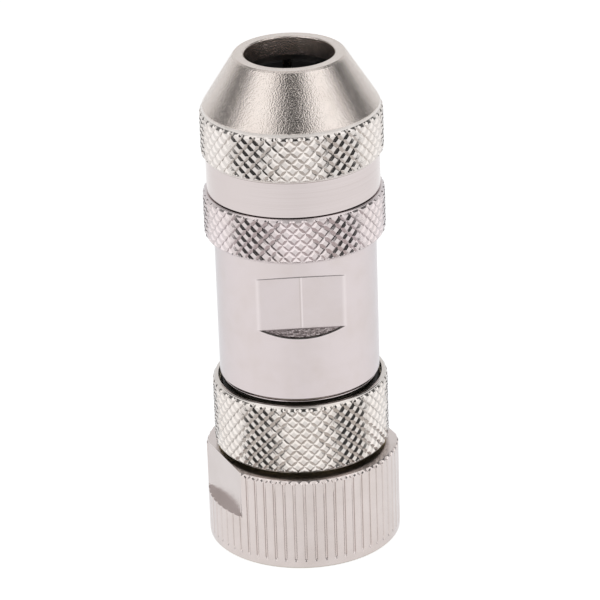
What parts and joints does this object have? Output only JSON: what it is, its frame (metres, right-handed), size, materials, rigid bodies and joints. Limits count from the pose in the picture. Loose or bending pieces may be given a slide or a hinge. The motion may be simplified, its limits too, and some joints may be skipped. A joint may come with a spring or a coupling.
{
  "type": "m12 connector",
  "caption": "Straight field-wired circular cable socket in a shielded metal housing, with a ribbed coupling nut, knurled grips and a conical cable clamping nut.",
  "frame": {"origin": "centre of the connector's lowest plane, the open face of the coupling nut", "axes": "+Z along the connector's axis towards the cable gland; -Y towards the front spanner flat of the barrel"},
  "size_m": [0.02, 0.02, 0.0529],
  "materials": {
    "nickel_ribbed": "satin nickel plate",
    "nickel_knurled": "satin nickel plate, diamond knurled",
    "nickel_body": "satin nickel plate, fine turned",
    "nickel_gland": "satin nickel plate, grainy turned cone",
    "spring_steel": "bright spring steel",
    "screw_steel": "zinc plated",
    "seal_rubber": "matt black",
    "black_plastic": "moulded, matt",
    "pale_plastic": "moulded polyamide",
    "gold_contact": "gold flash",
    "shield_brass": "bright turned"
  },
  "bodies": {
    "front_assembly": {"front_housing": "nickel_knurled", "contact_carrier": "black_plastic", "terminal_block": "black_plastic", "socket_contact_1": "gold_contact", "socket_contact_2": "gold_contact", "socket_contact_3": "gold_contact", "socket_contact_4": "gold_contact", "terminal_screws": "screw_steel", "nose_seal": "seal_rubber"},
    "nut_ring": {"retaining_ring": "spring_steel"},
    "coupling_nut": {"coupling_nut": "nickel_ribbed"},
    "gland_stack": {"spacer_sleeve": "pale_plastic", "shield_ring": "shield_brass", "braid_ring": "shield_brass", "cable_seal": "seal_rubber", "clamping_cage": "pale_plastic"},
    "rear_housing": {"rear_housing": "nickel_body", "housing_seal": "seal_rubber"},
    "slip_ring": {"thrust_ring": "spring_steel"},
    "clamping_nut": {"clamping_nut": "nickel_gland"}
  },
  "joints": [
    {"name": "coupling_nut_float", "type": "slide", "parent": "front_assembly", "child": "nut_ring", "axis": [0, 0, -1], "range_m": [0, 0.0005]},
    {"name": "coupling_nut_spin", "type": "hinge", "parent": "nut_ring", "child": "coupling_nut", "pos_m": [0, 0, 0.0085], "axis": [0, 0, -1], "continuous": true},
    {"name": "rear_housing_lift", "type": "slide", "parent": "front_assembly", "child": "gland_stack", "axis": [0, 0, 1], "range_m": [0, 0.003]},
    {"name": "rear_housing_turn", "type": "hinge", "parent": "gland_stack", "child": "rear_housing", "pos_m": [0, 0, 0.014], "axis": [0, 0, 1], "range_deg": [0, 1080.1]},
    {"name": "clamping_nut_lift", "type": "slide", "parent": "rear_housing", "child": "slip_ring", "axis": [0, 0, 1], "range_m": [0, 0.0055]},
    {"name": "clamping_nut_turn", "type": "hinge", "parent": "slip_ring", "child": "clamping_nut", "pos_m": [0, 0, 0.042], "axis": [0, 0, 1], "range_deg": [0, 1980.1]}
  ],
  "couplings": [
    {"joint": "rear_housing_turn", "follows": "rear_housing_lift", "rad_per_m": 6283.2},
    {"joint": "clamping_nut_turn", "follows": "clamping_nut_lift", "rad_per_m": 6283.2}
  ]
}
